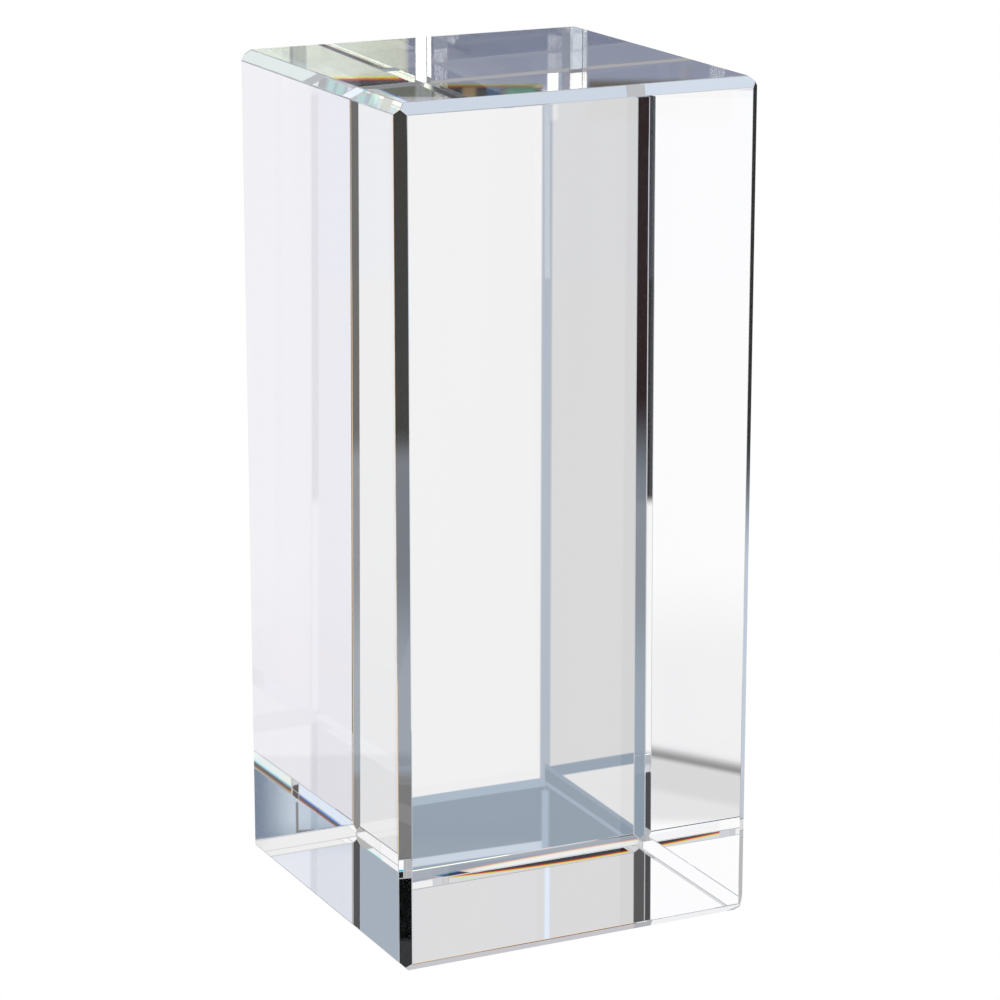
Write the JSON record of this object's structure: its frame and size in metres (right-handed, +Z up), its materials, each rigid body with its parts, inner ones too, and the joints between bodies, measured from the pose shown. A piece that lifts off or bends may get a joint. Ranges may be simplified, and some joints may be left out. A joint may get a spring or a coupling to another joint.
{
  "type": "crystal award",
  "caption": "Upright square prism of clear polished optical crystal with a narrow flat bevel on every edge, standing on its base face as a blank award.",
  "frame": {"origin": "centre of the resting face", "axes": "+Z up along the block's height; -Y out of the front face; +X to the right seen from the front"},
  "size_m": [0.045, 0.045, 0.1],
  "materials": {
    "crystal": "clear colourless optical crystal (K9 type, refractive index about 1.52), every face, bevel and edge polished"
  },
  "bodies": {
    "root": {"crystal_block": "crystal"}
  },
  "joints": []
}
